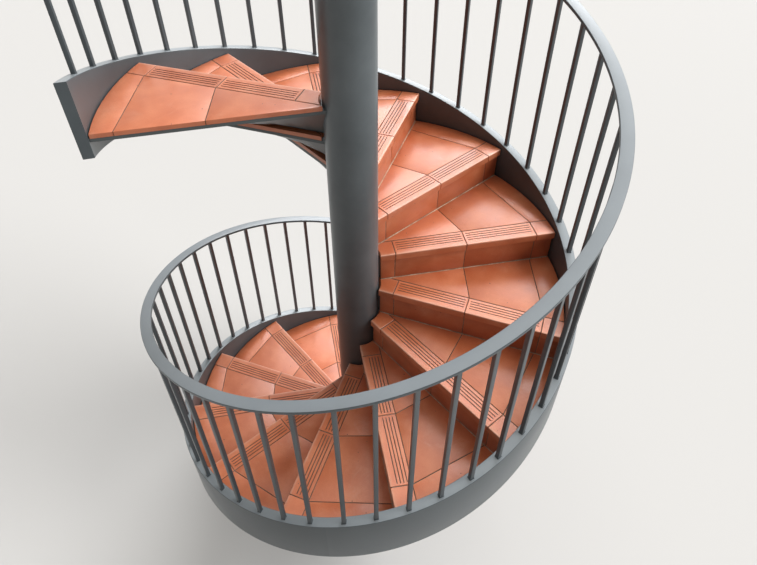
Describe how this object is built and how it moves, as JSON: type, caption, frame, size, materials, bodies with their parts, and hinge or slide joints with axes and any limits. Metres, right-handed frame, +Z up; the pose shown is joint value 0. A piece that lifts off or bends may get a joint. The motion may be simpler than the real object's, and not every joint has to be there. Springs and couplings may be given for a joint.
{
  "type": "spiral staircase",
  "caption": "Spiral staircase round a steel column, with terracotta tiled winder treads, a curved box stringer, square balusters and a flat steel handrail.",
  "frame": {"origin": "on the column's axis, at the underside of the base plate, which is the floor level", "axes": "+Z up along the column; +X points right and +Y away from the viewer in the reference view; the stair climbs counter-clockwise seen from above"},
  "size_m": [2.0677, 2.0677, 4.0643],
  "materials": {
    "terracotta_tile": "unglazed fired clay, matt",
    "column_paint": "grey gloss paint on steel",
    "stringer_paint": "grey gloss paint on steel",
    "railing_paint": "grey gloss paint on steel"
  },
  "bodies": {
    "root": {"base_plate": "column_paint", "column": "column_paint", "column_cap": "column_paint", "tread_01": "terracotta_tile", "tread_02": "terracotta_tile", "tread_03": "terracotta_tile", "tread_04": "terracotta_tile", "tread_05": "terracotta_tile", "tread_06": "terracotta_tile", "tread_07": "terracotta_tile", "tread_08": "terracotta_tile", "tread_09": "terracotta_tile", "tread_10": "terracotta_tile", "tread_11": "terracotta_tile", "tread_12": "terracotta_tile", "tread_13": "terracotta_tile", "tread_14": "terracotta_tile", "tread_15": "terracotta_tile", "tread_16": "terracotta_tile", "tread_17": "terracotta_tile", "stringer_1": "stringer_paint", "stringer_2": "stringer_paint", "stringer_3": "stringer_paint", "stringer_4": "stringer_paint", "balusters_1": "railing_paint", "balusters_2": "railing_paint", "balusters_3": "railing_paint", "balusters_4": "railing_paint", "handrail_1": "railing_paint", "handrail_2": "railing_paint", "handrail_3": "railing_paint", "handrail_4": "railing_paint"}
  },
  "joints": []
}
